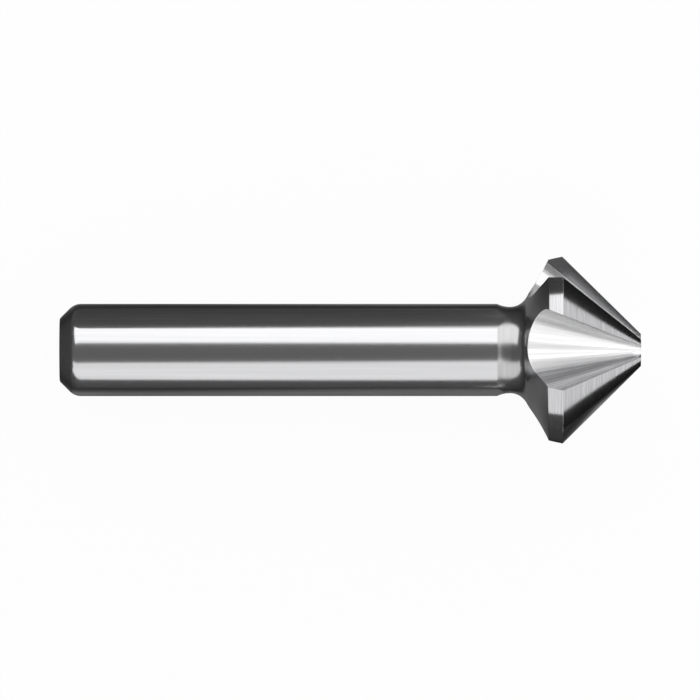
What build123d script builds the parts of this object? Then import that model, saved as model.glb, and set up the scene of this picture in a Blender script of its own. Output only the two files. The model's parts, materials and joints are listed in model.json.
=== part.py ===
from build123d import *
from math import acos, asin, cos, degrees, radians, sin, sqrt, tan
import os

# Countersink bit for 90 degree seats, ground from one bar of high-speed steel. Millimetres and degrees.
# It is built with its axis along +X: the rear face is at X = 0 and the tip is at X = overall_length.
# Angles round the axis are counted from +Z towards +Y. At the end the tool is laid down as it comes to rest.

# Overall sizes
overall_length = 63.0
shank_diameter = 10.0
head_diameter = 20.5
tip_diameter = 3.5
point_angle = 90.0

# Rear end of the shank
rear_chamfer = 1.6
rear_chamfer_blend = 1.7
rear_face_blend = 0.4

# Flats along the shank, which keep it from slipping in a three-jaw chuck
flat_depth = 0.25
flat_count = 3
first_flat_angle = 46.0

# Neck between shank and head
neck_depth = 0.32
shank_side_neck_radius = 3.2
head_side_neck_radius = 2.06
back_cone_angle = 61.0

# Margin, the narrow land round the rim of the head
margin_width = 1.5
margin_taper = 7.0

# Flutes, in two opposite pairs with an unequal pitch between the pairs, so that the tool doesn't chatter.
# The first five sizes are those of a flute's section at the rim. It narrows from there to a point that lies
# ahead of the tip and a little to the heel side.
cutting_wall_offset = 3.97
cutting_side_radius = 3.46
flute_floor_height = 4.22
heel_side_radius = 2.7
heel_flank_angle = 34.0
flute_point_ahead = 1.68
flute_point_aside = 0.23
flute_pair_pitch = 77.0

# Relief. Each land is ground about an axis of its own, so that it falls away behind its cutting edge.
relief_offset = 0.3
relief_lead = 60.0

shank_radius = shank_diameter / 2
head_radius = head_diameter / 2
tip_radius = tip_diameter / 2
neck_radius = shank_radius - neck_depth

# Slopes of the three cones of the head against the axis
point_slope = tan(radians(point_angle / 2))
margin_slope = tan(radians(margin_taper))
back_slope = tan(radians(back_cone_angle))

# Stations along the axis, from the tip backwards
rim_x = overall_length - (head_radius - tip_radius) / point_slope
margin_back_x = rim_x - margin_width
margin_back_radius = head_radius - margin_width * margin_slope
back_cone_start_radius = neck_radius + head_side_neck_radius * (1 - cos(radians(back_cone_angle)))
back_cone_start_x = margin_back_x - (margin_back_radius - back_cone_start_radius) / back_slope
neck_x = back_cone_start_x - head_side_neck_radius * sin(radians(back_cone_angle))
neck_run_in_angle = acos(1 - neck_depth / shank_side_neck_radius)
shank_end_x = neck_x - shank_side_neck_radius * sin(neck_run_in_angle)

flute_point_x = overall_length + flute_point_ahead
flute_angles = [0.0, flute_pair_pitch, 180.0, 180.0 + flute_pair_pitch]
cutting_edge_lead = degrees(asin((cutting_wall_offset - flute_point_aside) / head_radius))
spare = 1.0  # how far a cutter reaches past what it cuts


def turn_to(angle):
    """The turn that takes what is drawn at +Z to this angle round the axis."""
    return Rot(-angle, 0, 0)


def turned_blank():
    """Shank, neck, back cone, margin and point, as they come off the lathe."""
    shank = FilletPolyline(
        (0, 0),
        (0, shank_radius - rear_chamfer),
        (rear_chamfer, shank_radius),
        (shank_end_x, shank_radius),
        radius=[rear_face_blend, rear_chamfer_blend],
    )
    run_in = degrees(neck_run_in_angle)
    shank_side = (neck_x, neck_radius + shank_side_neck_radius)
    head_side = (neck_x, neck_radius + head_side_neck_radius)
    neck = CenterArc(shank_side, shank_side_neck_radius, 270 - run_in, run_in)
    neck += CenterArc(head_side, head_side_neck_radius, 270, back_cone_angle)
    head = Polyline(
        (back_cone_start_x, back_cone_start_radius),
        (margin_back_x, margin_back_radius),
        (rim_x, head_radius),
        (overall_length, tip_radius),
        (overall_length, 0),
        (0, 0),
    )
    return revolve(make_face(shank + neck + head), axis=Axis.X)


def flat_cutter(angle):
    """What grinding one flat takes off. The wheel stops at the bottom of the neck."""
    block = Box(neck_x + spare, shank_diameter, shank_radius, align=(Align.MAX, Align.CENTER, Align.MIN))
    return turn_to(angle) * Pos(neck_x, 0, shank_radius - flat_depth) * block


def relief_cutter(flute_angle, next_flute_angle):
    """What relief grinding takes off the land between two flutes."""
    drop = relief_offset * cos(radians(relief_lead))
    back_x = margin_back_x - spare
    ahead_x = overall_length + spare
    ground_land = Polyline(
        (back_x, 0),
        (back_x, head_radius - drop - (margin_width + spare) * margin_slope),
        (rim_x, head_radius - drop),
        (ahead_x, tip_radius - drop - spare * point_slope),
        (ahead_x, 0),
        close=True,
    )
    ground = Pos(0, 0, relief_offset) * revolve(make_face(ground_land), axis=Axis.X)
    ground_angle = flute_angle + cutting_edge_lead - relief_lead
    section = Pos(back_x, 0, 0) * Rectangle(ahead_x - back_x, head_radius + spare, align=Align.MIN)
    sector = revolve(section, axis=Axis.X, revolution_arc=(next_flute_angle - flute_angle) % 360)
    return turn_to(next_flute_angle - 90) * sector - turn_to(ground_angle) * ground


def flute_cutter(angle):
    """One flute: a straight cutting wall, a round floor and a leaning heel flank, narrowing to a point."""
    growth = (flute_point_x - neck_x) / (flute_point_x - rim_x)
    wall = cutting_wall_offset * growth
    cutting_radius = cutting_side_radius * growth
    heel_radius = heel_side_radius * growth
    floor = (wall - cutting_radius, flute_floor_height * growth)
    mouth = 2 * head_radius * growth
    floor_turn = 90 - heel_flank_angle
    cutting_side = CenterArc((floor[0], floor[1] + cutting_radius), cutting_radius, 270, 90)
    heel_side = CenterArc((floor[0], floor[1] + heel_radius), heel_radius, 270 - floor_turn, floor_turn)
    flank_foot = heel_side @ 0
    flank_top = (flank_foot.X - (mouth - flank_foot.Y) * tan(radians(heel_flank_angle)), mouth)
    sides = Polyline(flank_foot, flank_top, (wall, mouth), cutting_side @ 1)
    across = Plane((neck_x, -flute_point_aside, 0), x_dir=(0, 1, 0), z_dir=(1, 0, 0))
    section = across * make_face(cutting_side + heel_side + sides)
    return turn_to(angle) * loft([section, Vertex(flute_point_x, -flute_point_aside, 0)], ruled=True)


def laid_down(tool):
    """The tool as it lies, on the rim corners either side of its lowest flute and on the shank's rear edge."""
    rim_corners = tool.vertices().filter_by(lambda corner: abs(corner.X - rim_x) < 0.01).sort_by(Axis.Z)[:2]
    rear_corner = tool.vertices().filter_by(lambda corner: corner.X < neck_x / 2).sort_by(Axis.Z)[0]
    corners = [Vector(corner.center()) for corner in (rear_corner, *rim_corners.sort_by(Axis.Y))]
    up = (corners[1] - corners[0]).cross(corners[2] - corners[0])
    along = Vector(1, 0, 0) - up * (up.X / up.dot(up))
    floor = Plane(corners[0], x_dir=along, z_dir=up)
    resting = floor.to_local_coords(tool)
    box = resting.bounding_box()
    return Pos(-box.center().X, -box.center().Y, -box.min.Z) * resting


countersink_bit = turned_blank()
for number in range(flat_count):
    countersink_bit -= flat_cutter(first_flat_angle + 360 * number / flat_count)
for this_flute, next_flute in zip(flute_angles, flute_angles[1:] + flute_angles[:1]):
    countersink_bit -= relief_cutter(this_flute, next_flute)
for flute_angle in flute_angles:
    countersink_bit -= flute_cutter(flute_angle)
countersink_bit = laid_down(countersink_bit)

os.makedirs("parts", exist_ok=True)
export_step(countersink_bit, "parts/countersink_bit.step")
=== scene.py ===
import json
import math

import bpy
from mathutils import Matrix, Vector


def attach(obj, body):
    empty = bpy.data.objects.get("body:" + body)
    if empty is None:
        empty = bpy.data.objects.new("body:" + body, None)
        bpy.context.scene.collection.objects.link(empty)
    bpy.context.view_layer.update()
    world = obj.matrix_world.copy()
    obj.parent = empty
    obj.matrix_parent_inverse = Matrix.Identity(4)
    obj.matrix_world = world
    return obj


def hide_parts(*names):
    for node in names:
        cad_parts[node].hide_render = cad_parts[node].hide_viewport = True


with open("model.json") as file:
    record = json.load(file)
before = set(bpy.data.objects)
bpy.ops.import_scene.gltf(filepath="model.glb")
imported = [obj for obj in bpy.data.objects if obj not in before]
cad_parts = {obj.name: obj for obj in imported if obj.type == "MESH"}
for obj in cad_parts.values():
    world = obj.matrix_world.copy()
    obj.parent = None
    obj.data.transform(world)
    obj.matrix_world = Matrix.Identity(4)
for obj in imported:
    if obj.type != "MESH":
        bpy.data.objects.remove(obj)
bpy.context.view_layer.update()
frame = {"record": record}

# Camera. It stands well back with a long lens and looks square onto the tool's side that faces up.
# The tool lies head up and a little rolled, so the line of its axis and the side that faces up come
# from the record's mounts: the rear face, the shank and the first flat.
millimetre = 0.001
first_flat_angle = 46
mounts = {mount["name"]: mount for mount in frame["record"]["mounts"]}
rear_centre = Vector(mounts["rear_face"]["pos_m"])
along_axis = -Vector(mounts["shank"]["axis"])
first_flat_out = Vector(mounts["shank_flat_1"]["axis"])
beside_first_flat = along_axis.cross(first_flat_out)
flat_turn = math.radians(first_flat_angle)
front = math.cos(flat_turn) * first_flat_out + math.sin(flat_turn) * beside_first_flat
left = math.sin(flat_turn) * first_flat_out - math.cos(flat_turn) * beside_first_flat
lying_turn = Matrix((along_axis, left, front)).transposed()

camera_distance = 2.0
picture_width = 0.07588
picture_middle_x = 31.469
picture_middle = rear_centre + picture_middle_x * millimetre * along_axis
camera_data = bpy.data.cameras.new("camera")
camera_data.lens = camera_data.sensor_width * camera_distance / picture_width
camera = bpy.data.objects.new("camera", camera_data)
camera.location = picture_middle + camera_distance * front
camera.rotation_mode = "QUATERNION"
camera.rotation_quaternion = lying_turn.to_quaternion()
bpy.context.scene.collection.objects.link(camera)
bpy.context.scene.camera = camera
bpy.context.scene.view_settings.view_transform = "Standard"

# Blank. One bar of bare high-speed steel, turned to a shank, a neck, a back cone and a pointed head.
# The shank is ground lengthwise, the margin and the point are ground round, and the rest is left as
# the lathe leaves it. It is made in millimetres, with its rear face at the origin and its axis on X.
overall_length = 63
shank_radius = 5
head_radius = 10.25
tip_radius = 1.75
rear_chamfer = 1.6
rear_chamfer_blend = 1.7
rear_face_blend = 0.4
neck_radius = 4.68
neck_run_in_radius = 3.2
neck_run_out_radius = 2.06
back_cone_angle = 61
margin_width = 1.5
margin_slope = math.tan(math.radians(7))
back_slope = math.tan(math.radians(back_cone_angle))
sides = 256

rim_x = overall_length - (head_radius - tip_radius)
margin_back_x = rim_x - margin_width
margin_back_radius = head_radius - margin_width * margin_slope
back_cone_start_radius = neck_radius + neck_run_out_radius * (1 - math.cos(math.radians(back_cone_angle)))
back_cone_start_x = margin_back_x - (margin_back_radius - back_cone_start_radius) / back_slope
neck_x = back_cone_start_x - neck_run_out_radius * math.sin(math.radians(back_cone_angle))
neck_run_in_angle = math.degrees(math.acos(1 - (shank_radius - neck_radius) / neck_run_in_radius))


def wire(tree, source, target):
    """Joins one socket to another."""
    tree.links.new(source, target)


def node_at(tree, kind, column, row):
    """A node at its place in a grid of columns and rows."""
    grid_step = 220
    node = tree.nodes.new(kind)
    node.location = (grid_step * column, -grid_step * row)
    return node


def arithmetic(tree, operation, first, second, column, row):
    """A Math node on two values, each of them a socket or a number."""
    node = node_at(tree, "ShaderNodeMath", column, row)
    node.operation = operation
    for socket, value in zip(node.inputs, (first, second)):
        if isinstance(value, (int, float)):
            socket.default_value = value
        else:
            wire(tree, value, socket)
    return node.outputs[0]


# The scratches of a wheel or a lathe tool: fine and broad noise together, from 0 to 1 about a half.
wheel_marks = bpy.data.node_groups.new("wheel_marks", "ShaderNodeTree")
wheel_marks.interface.new_socket("Position", in_out="INPUT", socket_type="NodeSocketVector")
wheel_marks.interface.new_socket("Contrast", in_out="INPUT", socket_type="NodeSocketFloat")
wheel_marks.interface.new_socket("Marks", in_out="OUTPUT", socket_type="NodeSocketFloat")
marks_in = node_at(wheel_marks, "NodeGroupInput", 0, 0)
marks_out = node_at(wheel_marks, "NodeGroupOutput", 6, 0)
fine = node_at(wheel_marks, "ShaderNodeTexNoise", 1, 0)
fine.inputs["Scale"].default_value = 1
fine.inputs["Detail"].default_value = 4
fine.inputs["Roughness"].default_value = 0.6
wire(wheel_marks, marks_in.outputs["Position"], fine.inputs["Vector"])
broad = node_at(wheel_marks, "ShaderNodeTexNoise", 1, 1)
broad.inputs["Scale"].default_value = 0.23
broad.inputs["Detail"].default_value = 2
wire(wheel_marks, marks_in.outputs["Position"], broad.inputs["Vector"])
broad_share = 0.4
noise_mean = 0.5
less_broad = arithmetic(wheel_marks, "MULTIPLY", broad.outputs["Fac"], broad_share, 2, 1)
both = arithmetic(wheel_marks, "ADD", fine.outputs["Fac"], less_broad, 3, 1)
centred = arithmetic(wheel_marks, "SUBTRACT", both, noise_mean * (1 + broad_share), 3, 0)
stretched = arithmetic(wheel_marks, "MULTIPLY", centred, marks_in.outputs["Contrast"], 4, 0)
marks_height = arithmetic(wheel_marks, "ADD", stretched, noise_mean, 5, 0)
wire(wheel_marks, marks_height, marks_out.inputs["Marks"])


def scaled(tree, values, scales):
    """Each value times its scale, so that the marks are short where the scale is large."""
    return [arithmetic(tree, "MULTIPLY", *pair, 4, row) for row, pair in enumerate(zip(values, scales))]


def rings(across, around):
    """Marks that run round the axis."""
    def pattern(tree, x, y, z):
        return scaled(tree, (x, y, z), (across, around, around))
    return pattern


def facing_rings(across, around):
    """Marks that run round the axis on a face that is square to it."""
    def pattern(tree, x, y, z):
        squares = [arithmetic(tree, "MULTIPLY", value, value, 3, row) for row, value in enumerate((y, z))]
        total = arithmetic(tree, "ADD", *squares, 3, 2)
        radius = arithmetic(tree, "SQRT", total, 0, 3, 3)
        return scaled(tree, (radius, y, z), (across, around, around))
    return pattern


def lengthwise(across, along):
    """Marks that run along the axis."""
    def pattern(tree, x, y, z):
        return scaled(tree, (x, y, z), (along, across, across))
    return pattern


def steel(name, colour, pattern, roughness, contrast, colour_spread, roughness_spread, depth, blend=0.08):
    """Bare steel. Its marks follow the pattern and change its colour, gloss and height.

    The marks' depth and the blend over sharp edges are in millimetres.
    """
    material = bpy.data.materials.new(name)
    material.use_nodes = True
    tree = material.node_tree
    shader = tree.nodes["Principled BSDF"]
    shader.location = (2200, 0)
    shader.inputs["Metallic"].default_value = 1
    tree.nodes["Material Output"].location = (2500, 0)

    to_tool_axes = lying_turn.transposed()
    place = node_at(tree, "ShaderNodeTexCoord", 0, 0)
    on_axes = node_at(tree, "ShaderNodeMapping", 1, 0)
    on_axes.inputs["Location"].default_value = to_tool_axes @ -rear_centre / millimetre
    on_axes.inputs["Rotation"].default_value = to_tool_axes.to_euler("XYZ")
    on_axes.inputs["Scale"].default_value = (1 / millimetre,) * 3
    wire(tree, place.outputs["Object"], on_axes.inputs["Vector"])
    split = node_at(tree, "ShaderNodeSeparateXYZ", 2, 0)
    wire(tree, on_axes.outputs[0], split.inputs[0])
    joined = node_at(tree, "ShaderNodeCombineXYZ", 5, 0)
    for socket, value in zip(joined.inputs, pattern(tree, *split.outputs)):
        wire(tree, value, socket)
    marks = node_at(tree, "ShaderNodeGroup", 6, 0)
    marks.node_tree = wheel_marks
    marks.inputs["Contrast"].default_value = contrast
    wire(tree, joined.outputs[0], marks.inputs["Position"])

    tint = node_at(tree, "ShaderNodeMix", 7, 0)
    tint.data_type = "RGBA"
    tint.inputs["A"].default_value = (*(part * (1 - colour_spread) for part in colour), 1)
    tint.inputs["B"].default_value = (*(min(1, part * (1 + colour_spread)) for part in colour), 1)
    wire(tree, marks.outputs["Marks"], tint.inputs["Factor"])
    wire(tree, tint.outputs["Result"], shader.inputs["Base Color"])
    gloss = node_at(tree, "ShaderNodeMapRange", 7, 1)
    gloss.inputs["To Min"].default_value = roughness + roughness_spread
    gloss.inputs["To Max"].default_value = roughness - roughness_spread
    wire(tree, marks.outputs["Marks"], gloss.inputs["Value"])
    wire(tree, gloss.outputs["Result"], shader.inputs["Roughness"])
    edge = node_at(tree, "ShaderNodeBevel", 7, 3)
    edge.samples = 12
    edge.inputs["Radius"].default_value = blend * millimetre
    relief = node_at(tree, "ShaderNodeBump", 8, 2)
    relief.inputs["Strength"].default_value = 1
    relief.inputs["Distance"].default_value = depth * millimetre
    wire(tree, marks.outputs["Marks"], relief.inputs["Height"])
    wire(tree, edge.outputs["Normal"], relief.inputs["Normal"])
    wire(tree, relief.outputs["Normal"], shader.inputs["Normal"])
    return material


turned_steel = steel(
    "turned_steel", (0.49, 0.49, 0.495), rings(6, 0.2),
    roughness=0.24, contrast=1.4, colour_spread=0.07, roughness_spread=0.04, depth=0.0006,
)
cone_steel = steel(
    "cone_steel", (0.47, 0.47, 0.475), rings(6, 0.2),
    roughness=0.2, contrast=1.4, colour_spread=0.07, roughness_spread=0.03, depth=0.0006,
)
faced_steel = steel(
    "faced_steel", (0.6, 0.6, 0.605), facing_rings(9, 0.2),
    roughness=0.45, contrast=1.4, colour_spread=0.06, roughness_spread=0.04, depth=0.001,
)
round_ground_steel = steel(
    "round_ground_steel", (0.62, 0.62, 0.63), lengthwise(3.5, 0.05),
    roughness=0.18, contrast=1.8, colour_spread=0.045, roughness_spread=0.02, depth=0.0004,
)
land_ground_steel = steel(
    "land_ground_steel", (0.53, 0.53, 0.54), rings(24, 0.25),
    roughness=0.13, contrast=2.8, colour_spread=0.13, roughness_spread=0.03, depth=0.0006,
)
neck_steel = steel(
    "neck_steel", (0.49, 0.49, 0.495), rings(6, 0.2),
    roughness=0.24, contrast=1.4, colour_spread=0.07, roughness_spread=0.04, depth=0.0006, blend=0.8,
)


def arc(centre_x, centre_radius, radius, start, end, steps):
    """Stations along an arc of a turned profile, with angles in degrees from the axis."""
    angles = [math.radians(start + (end - start) * step / steps) for step in range(steps + 1)]
    return [
        (centre_x + radius * math.cos(angle), centre_radius + radius * math.sin(angle))
        for angle in angles
    ]


def turned_body(name, stations):
    """A disc that is drawn out along X from station to station, as a lathe leaves the bar."""
    x, radius = stations[0]
    bpy.ops.mesh.primitive_circle_add(
        vertices=sides, radius=radius, fill_type="NGON", location=(x, 0, 0), rotation=(0, math.pi / 2, 0)
    )
    body = bpy.context.object
    body.name = name
    bpy.ops.object.transform_apply()
    bpy.ops.object.mode_set(mode="EDIT")
    bpy.ops.mesh.select_all(action="SELECT")
    for next_x, next_radius in stations[1:]:
        growth = next_radius / radius
        bpy.ops.mesh.extrude_region_move(TRANSFORM_OT_translate={"value": (next_x - x, 0, 0)})
        bpy.ops.transform.resize(value=(1, growth, growth), center_override=(next_x, 0, 0))
        x, radius = next_x, next_radius
    bpy.ops.mesh.select_all(action="SELECT")
    bpy.ops.mesh.normals_make_consistent(inside=False)
    bpy.ops.object.mode_set(mode="OBJECT")
    return body


blend_reach = math.tan(math.radians(45) / 2)
face_edge_radius = shank_radius - rear_chamfer - rear_face_blend * blend_reach
shank_start_x = rear_chamfer + rear_chamfer_blend * blend_reach
run_in_centre = neck_radius + neck_run_in_radius
run_out_centre = neck_radius + neck_run_out_radius
profile = arc(rear_face_blend, face_edge_radius, rear_face_blend, 180, 135, steps=6)
profile += arc(shank_start_x, shank_radius - rear_chamfer_blend, rear_chamfer_blend, 135, 90, steps=14)
profile += arc(neck_x, run_in_centre, neck_run_in_radius, 270 - neck_run_in_angle, 270, steps=12)
profile += arc(neck_x, run_out_centre, neck_run_out_radius, 270, 270 + back_cone_angle, steps=24)[1:]
profile += [(margin_back_x, margin_back_radius), (rim_x, head_radius), (overall_length, tip_radius)]
bpy.ops.object.select_all(action="DESELECT")
bit = turned_body("ground_bit", profile)

square_to_axis = 0.99
chamfer_until_x = 1.3
past_neck_middle = 0.1
neck_from_x = neck_x - neck_run_in_radius * math.sin(math.radians(neck_run_in_angle))
cone_from_x = neck_x + past_neck_middle
finishes = [round_ground_steel, turned_steel, land_ground_steel, faced_steel, cone_steel, neck_steel]
for finish in finishes:
    bit.data.materials.append(finish)
for face in bit.data.polygons:
    x = face.center.x
    if abs(face.normal.x) > square_to_axis:
        finish = faced_steel
    elif x > margin_back_x:
        finish = land_ground_steel
    elif x > cone_from_x:
        finish = cone_steel
    elif x > neck_from_x:
        finish = neck_steel
    elif x > chamfer_until_x:
        finish = round_ground_steel
    else:
        finish = turned_steel
    face.material_index = finishes.index(finish)

# Flats. Three flats for the jaws of a chuck, a third of a turn apart. Each is ground along the shank
# with the face of a wheel, from behind the rear face to the neck.
flat_count = 3
flat_depth = 0.25
spare = 1
flat_wheel_length = neck_x + spare
flat_ground_steel = steel(
    "flat_ground_steel", (0.58, 0.57, 0.575), lengthwise(4, 0.06),
    roughness=0.2, contrast=2.2, colour_spread=0.16, roughness_spread=0.03, depth=0.001,
)


def select_alone(body):
    """Selects one body and nothing else."""
    bpy.ops.object.select_all(action="DESELECT")
    body.select_set(True)
    bpy.context.view_layer.objects.active = body


def turned_copy(cutter, angle):
    """A copy with its own mesh, turned by an angle from the front towards the left."""
    turned = cutter.copy()
    turned.data = cutter.data.copy()
    bpy.context.scene.collection.objects.link(turned)
    select_alone(turned)
    turned.rotation_euler.x = -math.radians(angle)
    bpy.ops.object.transform_apply()
    return turned


def cut_away(body, cutter):
    """Takes the cutter's shape off the body, which gets the cutter's finish where it was cut."""
    cut = body.modifiers.new("cut", "BOOLEAN")
    cut.operation = "DIFFERENCE"
    cut.solver = "EXACT"
    cut.material_mode = "TRANSFER"
    cut.object = cutter
    bpy.context.view_layer.objects.active = body
    bpy.ops.object.modifier_apply(modifier=cut.name)
    bpy.data.objects.remove(cutter)


bpy.ops.mesh.primitive_cube_add(
    size=1,
    location=(neck_x - flat_wheel_length / 2, 0, 1.5 * shank_radius - flat_depth),
    scale=(flat_wheel_length, 2 * shank_radius, shank_radius),
)
flat_wheel = bpy.context.object
flat_wheel.data.materials.append(flat_ground_steel)
bpy.ops.object.transform_apply()
for number in range(flat_count):
    cut_away(bit, turned_copy(flat_wheel, first_flat_angle + 360 / flat_count * number))
bpy.data.objects.remove(flat_wheel)

# Lands. The four parts of the head between the flutes. Each is ground once more about a line beside
# the axis, so that its cone and its margin drop away behind the cutting edge.
flute_angles = [0, 77, 180, 257]
cutting_wall_offset = 3.97
flute_point_aside = 0.23
cutting_edge_lead = math.degrees(math.asin((cutting_wall_offset - flute_point_aside) / head_radius))
relief_offset = 0.3
relief_lead = 60
relief_drop = relief_offset * math.cos(math.radians(relief_lead))
ground_radius = head_radius - relief_drop
land_back_x = margin_back_x - spare
land_ahead_x = overall_length + spare
ground_land = turned_body("ground_land", [
    (land_back_x - spare, ground_radius - (margin_width + 2 * spare) * margin_slope),
    (rim_x, ground_radius),
    (land_ahead_x, tip_radius - relief_drop - spare),
])
ground_land.data.materials.append(land_ground_steel)
ground_land.location.z = relief_offset
bpy.ops.object.transform_apply()

head_block_size = 2 * (head_radius + spare)
bpy.ops.mesh.primitive_cube_add(
    size=1,
    location=((land_back_x + land_ahead_x) / 2, 0, 0),
    scale=(land_ahead_x - land_back_x, head_block_size, head_block_size),
)
head_block = bpy.context.object
head_block.data.materials.append(land_ground_steel)
bpy.ops.object.transform_apply()
for this_flute, next_flute in zip(flute_angles, flute_angles[1:] + [360]):
    land = turned_copy(ground_land, this_flute + cutting_edge_lead - relief_lead)
    ground_off = turned_copy(head_block, 0)
    bpy.ops.object.mode_set(mode="EDIT")
    for side_angle, side in ((this_flute, 1), (next_flute, -1)):
        turn = math.radians(side_angle)
        bpy.ops.mesh.select_all(action="SELECT")
        bpy.ops.mesh.bisect(
            plane_co=(0, 0, 0), plane_no=(0, side * math.cos(turn), -side * math.sin(turn)),
            use_fill=True, clear_inner=True,
        )
    bpy.ops.object.mode_set(mode="OBJECT")
    cut_away(ground_off, land)
    cut_away(bit, ground_off)
bpy.data.objects.remove(ground_land)
bpy.data.objects.remove(head_block)

# Flutes. Four flutes in two pairs, each ground with a formed wheel that runs towards a point ahead of
# the tip. A flute has a flat cutting face, a floor of two radii and a heel flank that leans away.
cutting_side_radius = 3.46
heel_side_radius = 2.7
flute_floor_height = 4.22
heel_flank_lean = 34
flute_point_ahead = 1.68
flute_point_x = overall_length + flute_point_ahead


def radiating(across, along):
    """Marks that run together towards the flutes' point."""
    def pattern(tree, x, y, z):
        to_point = arithmetic(tree, "SUBTRACT", flute_point_x, x, 3, 0)
        across_y = arithmetic(tree, "DIVIDE", y, to_point, 3, 1)
        across_z = arithmetic(tree, "DIVIDE", z, to_point, 3, 2)
        return scaled(tree, (x, across_y, across_z), (along, across, across))
    return pattern


# Painted highlight: the flute floor's colour of 0.9 is far paler than bare steel, so that it shines near
# white. Its streaks are real grinding marks.
flute_steel_painted_lit = steel(
    "flute_steel_painted_lit", (0.9, 0.9, 0.905), radiating(34, 0.05),
    roughness=0.34, contrast=2.6, colour_spread=0.11, roughness_spread=0.06, depth=0.006,
)
heel_flank_steel = steel(
    "heel_flank_steel", (0.53, 0.53, 0.54), radiating(34, 0.05),
    roughness=0.22, contrast=2.8, colour_spread=0.36, roughness_spread=0.04, depth=0.002,
)
# Painted shade: the cutting face is ground by the same wheel as the flute floor, and its dark colour stands
# in for shade.
cutting_face_steel_painted_shade = steel(
    "cutting_face_steel_painted_shade", (0.32, 0.32, 0.33), radiating(42, 0.05),
    roughness=0.24, contrast=2.4, colour_spread=0.2, roughness_spread=0.03, depth=0.0008,
)

growth = (flute_point_x - neck_x) / (flute_point_x - rim_x)
wall_y = cutting_wall_offset * growth - flute_point_aside
cutting_radius = cutting_side_radius * growth
heel_radius = heel_side_radius * growth
floor_y = wall_y - cutting_radius
floor_z = flute_floor_height * growth
wall_foot_z = floor_z + cutting_radius
mouth_z = 2 * head_radius * growth
lean = math.radians(heel_flank_lean)
flank_foot_y = floor_y - heel_radius * math.cos(lean)
flank_foot_z = floor_z + heel_radius * (1 - math.sin(lean))
flank_top_y = flank_foot_y - (mouth_z - flank_foot_z) * math.tan(lean)
weld_distance = 0.0005

# The wheel's outline stands at the neck, and is then drawn out to the flutes' point. It starts from
# one corner at the floor's lowest place, goes up the cutting side, across the mouth and down the heel.
bpy.ops.mesh.primitive_plane_add(size=1, location=(neck_x, floor_y, floor_z))
flute_wheel = bpy.context.object
bpy.ops.object.transform_apply()
bpy.ops.object.mode_set(mode="EDIT")
bpy.ops.mesh.select_all(action="SELECT")
bpy.ops.mesh.merge(type="CENTER")
bpy.ops.mesh.spin(steps=40, angle=-math.pi / 2, center=(neck_x, floor_y, wall_foot_z), axis=(1, 0, 0))
bpy.ops.mesh.extrude_region_move(TRANSFORM_OT_translate={"value": (0, 0, mouth_z - wall_foot_z)})
bpy.ops.mesh.extrude_region_move(TRANSFORM_OT_translate={"value": (0, flank_top_y - wall_y, 0)})
bpy.ops.mesh.extrude_region_move(
    TRANSFORM_OT_translate={"value": (0, flank_foot_y - flank_top_y, flank_foot_z - mouth_z)}
)
bpy.ops.mesh.spin(
    steps=24, angle=lean - math.pi / 2, center=(neck_x, floor_y, floor_z + heel_radius), axis=(1, 0, 0)
)
bpy.ops.mesh.select_all(action="SELECT")
bpy.ops.mesh.remove_doubles(threshold=weld_distance)
bpy.ops.mesh.edge_face_add()
bpy.ops.mesh.extrude_region_move(TRANSFORM_OT_translate={"value": (flute_point_x - neck_x, 0, 0)})
bpy.ops.transform.resize(value=(0, 0, 0), center_override=(flute_point_x, -flute_point_aside, 0))
bpy.ops.mesh.select_all(action="SELECT")
bpy.ops.mesh.remove_doubles(threshold=weld_distance)
bpy.ops.mesh.normals_make_consistent(inside=False)
bpy.ops.object.mode_set(mode="OBJECT")

flute_finishes = [flute_steel_painted_lit, cutting_face_steel_painted_shade, heel_flank_steel]
square_to_wall = 0.999
square_to_flank = 0.99
smallest_flank = 3
for finish in flute_finishes:
    flute_wheel.data.materials.append(finish)
for face in flute_wheel.data.polygons:
    sideways = face.normal.y / math.hypot(face.normal.y, face.normal.z, 1e-9)
    if sideways > square_to_wall:
        finish = cutting_face_steel_painted_shade
    elif sideways < -square_to_flank * math.cos(lean) and face.area > smallest_flank:
        finish = heel_flank_steel
    else:
        finish = flute_steel_painted_lit
    face.material_index = flute_finishes.index(finish)
for flute_angle in flute_angles:
    cut_away(bit, turned_copy(flute_wheel, flute_angle))
bpy.data.objects.remove(flute_wheel)

# The finished tool. It lies on two corners of its rim and on its shank's rear edge. Its round faces
# are smooth, and every edge that a wheel leaves stays sharp.
select_alone(bit)
bit.matrix_world = Matrix.Translation(rear_centre) @ lying_turn.to_4x4() @ Matrix.Scale(millimetre, 4)
bpy.ops.object.transform_apply()
bpy.ops.object.shade_smooth_by_angle(angle=math.radians(25))
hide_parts("countersink_bit")
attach(bit, "root")

# Softboxes and room. Two long boxes of white cloth hang along the tool, one on each side, and give the
# shank its light bands. A smaller one ahead of the head lights the flutes. The room is dim and grey.
box_distance = 0.35
room_grey = 0.155


def softbox(name, middle, out, lengthways, length, width, brightness, askew=0):
    """A white rectangle that faces the tool, as bright as given, with one side along a direction."""
    cloth = bpy.data.lights.new(name, "AREA")
    cloth.shape = "RECTANGLE"
    cloth.size = length
    cloth.size_y = width
    cloth.energy = brightness * math.pi * length * width
    box = bpy.data.objects.new(name, cloth)
    bpy.context.scene.collection.objects.link(box)
    facing = Matrix((lengthways, out.cross(lengthways), out)).transposed()
    box.location = middle
    box.rotation_mode = "QUATERNION"
    box.rotation_quaternion = (facing @ Matrix.Rotation(math.radians(askew), 3, "Z")).to_quaternion()
    box.visible_camera = False


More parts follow.
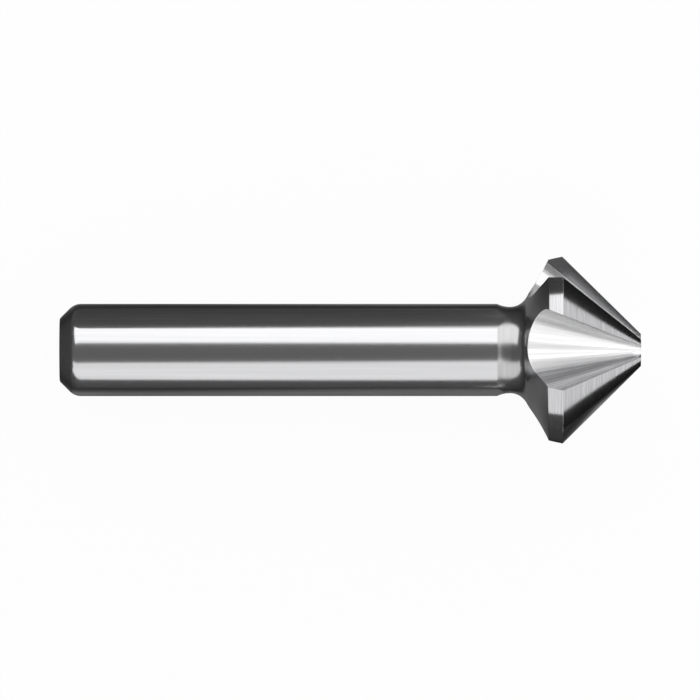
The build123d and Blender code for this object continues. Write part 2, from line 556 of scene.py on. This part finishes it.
for name, near_edge, far_edge, back_end, front_end, brightness, askew in (
    ("softbox_left", 17.5, 77.5, -0.35, 0.5, 1.41, 0),
    ("softbox_right", -31.5, -87, -0.5, 0.5, 0.97, 7),
):
    half_width_angle = math.radians(abs(far_edge - near_edge) / 2)
    middle_angle = math.radians((near_edge + far_edge) / 2)
    out = math.cos(middle_angle) * front + math.sin(middle_angle) * left
    middle = picture_middle + box_distance * out + (back_end + front_end) / 2 * along_axis
    width = 2 * box_distance * math.tan(half_width_angle)
    softbox(name, middle, out, along_axis, front_end - back_end, width, brightness, askew)

ahead_angle = math.radians(54)
ahead_faces_x = 0.055
ahead_to_right = 0.045
out = math.cos(ahead_angle) * front + math.sin(ahead_angle) * along_axis
middle = rear_centre + ahead_faces_x * along_axis + box_distance * out - ahead_to_right * left
softbox("softbox_ahead", middle, out, left.cross(out), length=0.16, width=0.28, brightness=1.3)

world = bpy.data.worlds.new("room")
bpy.context.scene.world = world
world.use_nodes = True
background = world.node_tree.nodes["Background"]
background.inputs["Color"].default_value = (room_grey, room_grey, room_grey, 1)
background.inputs["Strength"].default_value = 1

# Floor. A wide round sheet of white paper with a low rim turned up. It looks white to the camera and
# in the steel, and takes the tool's shadow as plain paper does.
floor_radius = 2.4
floor_rim = 0.3
paper_white = 0.96
glow_share = 0.95
bpy.ops.mesh.primitive_circle_add(vertices=128, radius=floor_radius, fill_type="NGON")
floor = bpy.context.object
floor.name = "floor"
bpy.ops.object.mode_set(mode="EDIT")
bpy.ops.mesh.select_all(action="SELECT")
bpy.ops.mesh.select_mode(type="EDGE")
bpy.ops.mesh.region_to_loop()
bpy.ops.mesh.extrude_region_move(TRANSFORM_OT_translate={"value": (0, 0, floor_rim)})
bpy.ops.object.mode_set(mode="OBJECT")

paper = bpy.data.materials.new("white_paper")
paper.use_nodes = True
tree = paper.node_tree
paper_shader = tree.nodes["Principled BSDF"]
paper_shader.inputs["Base Color"].default_value = (paper_white, paper_white, paper_white, 1)
paper_shader.inputs["Roughness"].default_value = 0.9
paper_shader.inputs["Specular IOR Level"].default_value = 0
glow = node_at(tree, "ShaderNodeEmission", -1, 2)
glow.inputs["Color"].default_value = (1, 1, 1, 1)
rays = node_at(tree, "ShaderNodeLightPath", -4, 1)
directly = arithmetic(
    tree, "MAXIMUM", rays.outputs["Is Camera Ray"], rays.outputs["Is Glossy Ray"], -3, 1
)
seen = arithmetic(tree, "MAXIMUM", directly, rays.outputs["Is Transmission Ray"], -2, 1)
share = arithmetic(tree, "MULTIPLY", seen, glow_share, -1, 1)
mix = node_at(tree, "ShaderNodeMixShader", 2, 0)
wire(tree, share, mix.inputs[0])
wire(tree, paper_shader.outputs[0], mix.inputs[1])
wire(tree, glow.outputs[0], mix.inputs[2])
wire(tree, mix.outputs[0], tree.nodes["Material Output"].inputs["Surface"])
floor.data.materials.append(paper)

# Painted reflection. A tray-shaped sheet on the floor, with its sides and its back folded up, gives the
# steel something dark to mirror from below, and only reflections show it. Its greys are painted reflection,
# not the
# colour of a real card: a light grey next to the tool, where it stands in for the floor under the tool,
# nearly black farther out, and darker still ahead of the head.
card_lift = 0.0001
card_back_x = -0.115
card_front_x = 0.03
card_half_width = 0.036
side_strip = 0.024
wall_height = 0.024
back_wall_more = 0.02
side_wall_more = 0.02
tongue_length = 0.045
tongue_end_x = 0.067
tongue_end_skew = -0.09
hair = 0.0001

bpy.ops.mesh.primitive_plane_add(size=1, location=((card_back_x + card_front_x) / 2, 0, card_lift))
card = bpy.context.object
card.name = "painted_reflection_card"
card.scale = (card_front_x - card_back_x, 2 * card_half_width, 1)
bpy.ops.object.transform_apply()


def draw_out_edges(move, wanted):
    """Extrudes the card's edges whose middle is where it is wanted."""
    bpy.ops.object.mode_set(mode="EDIT")
    bpy.ops.mesh.select_mode(type="EDGE")
    bpy.ops.mesh.select_all(action="DESELECT")
    bpy.ops.object.mode_set(mode="OBJECT")
    for edge in card.data.edges:
        ends = [card.data.vertices[index].co for index in edge.vertices]
        edge.select = wanted((ends[0] + ends[1]) / 2)
    bpy.ops.object.mode_set(mode="EDIT")
    bpy.ops.mesh.extrude_edges_move(TRANSFORM_OT_translate={"value": move})


def at_back(middle):
    """On the card's back edge or wall."""
    return middle.x < card_back_x + hair


def at_front(middle):
    """On the card's front edge or ahead of it."""
    return middle.x > card_front_x - hair


def at_side(middle, half_width):
    """As far out on either side as given, or farther."""
    return abs(middle.y) > half_width - hair


outer_half_width = card_half_width + side_strip
draw_out_edges((tongue_length, 0, 0), at_front)
draw_out_edges(
    (0, side_strip, 0),
    lambda middle: middle.y > 0 and at_side(middle, card_half_width) and not at_front(middle),
)
draw_out_edges(
    (0, -side_strip, 0),
    lambda middle: middle.y < 0 and at_side(middle, card_half_width) and not at_front(middle),
)
draw_out_edges((0, 0, wall_height), lambda middle: at_side(middle, outer_half_width) or at_back(middle))
draw_out_edges((side_wall_more, 0, 0), lambda middle: at_side(middle, outer_half_width) and at_front(middle))
draw_out_edges((0, 0, back_wall_more), lambda middle: at_back(middle) and middle.z > wall_height - hair)
bpy.ops.mesh.select_all(action="SELECT")
bpy.ops.mesh.bisect(plane_co=(tongue_end_x, 0, 0), plane_no=(1, tongue_end_skew, 0), clear_outer=True)
bpy.ops.object.mode_set(mode="OBJECT")

# The sheet's greys are painted reflection: light along the tool's line, wider under the head, darker
# outwards.
tool_line_y = -0.0017
tool_half_length = 0.023
widest_grey_x = 0.008
widening_from_x = -0.02
widening = 0.0025
ramp_reach = 0.064
reflection_ramp_greys = (
    (0.109, 0.36), (0.13, 0.17), (0.142, 0.11), (0.166, 0.07), (0.192, 0.045), (0.31, 0.08), (1, 0.1)
)
# Painted reflection: ahead of the head the sheet's grey is darker still.
painted_darker_from_x = 0.037
painted_darker_by = 0.7
reflection_paint = bpy.data.materials.new("painted_reflection_grey")
reflection_paint.use_nodes = True
tree = reflection_paint.node_tree
reflection_paint_shader = tree.nodes["Principled BSDF"]
reflection_paint_shader.inputs["Roughness"].default_value = 1
reflection_paint_shader.inputs["Specular IOR Level"].default_value = 0
place = node_at(tree, "ShaderNodeTexCoord", -6, 0)
split = node_at(tree, "ShaderNodeSeparateXYZ", -5, 0)
wire(tree, place.outputs["Object"], split.inputs[0])
across = arithmetic(tree, "SUBTRACT", split.outputs["Y"], tool_line_y, -4, 0)
aside = arithmetic(tree, "ABSOLUTE", across, 0, -3, 0)
from_middle = arithmetic(tree, "ABSOLUTE", split.outputs["X"], 0, -4, 1)
past_end = arithmetic(tree, "SUBTRACT", from_middle, tool_half_length, -3, 1)
farther = arithmetic(tree, "MAXIMUM", aside, past_end, -3, 2)
wider_grey = node_at(tree, "ShaderNodeMapRange", -3, 3)
wider_grey.inputs["From Min"].default_value = widening_from_x
wider_grey.inputs["From Max"].default_value = widest_grey_x
wider_grey.inputs["To Max"].default_value = widening
wire(tree, split.outputs["X"], wider_grey.inputs["Value"])
distance = arithmetic(tree, "SUBTRACT", farther, wider_grey.outputs["Result"], -2, 1)
on_ramp = arithmetic(tree, "DIVIDE", distance, ramp_reach, -2, 0)
ramp = node_at(tree, "ShaderNodeValToRGB", -1, 0)
stops = ramp.color_ramp.elements
stops.remove(stops[1])
nearest_at, nearest_grey = reflection_ramp_greys[0]
stops[0].position = nearest_at
stops[0].color = (nearest_grey, nearest_grey, nearest_grey, 1)
for at, grey in reflection_ramp_greys[1:]:
    stops.new(at).color = (grey, grey, grey, 1)
wire(tree, on_ramp, ramp.inputs[0])
ahead = arithmetic(tree, "GREATER_THAN", split.outputs["X"], painted_darker_from_x, 0, 2)
taken_off = arithmetic(tree, "MULTIPLY", ahead, painted_darker_by, 1, 2)
left_over = arithmetic(tree, "SUBTRACT", 1, taken_off, 2, 2)
shade = arithmetic(tree, "MULTIPLY", left_over, ramp.outputs["Color"], 3, 2)
wire(tree, shade, reflection_paint_shader.inputs["Base Color"])
card.data.materials.append(reflection_paint)
# Hidden from the camera, the floor's light and shadows, so that it is a painted reflection in the steel
# alone.
card.visible_camera = False
card.visible_diffuse = False
card.visible_transmission = False
card.visible_shadow = False
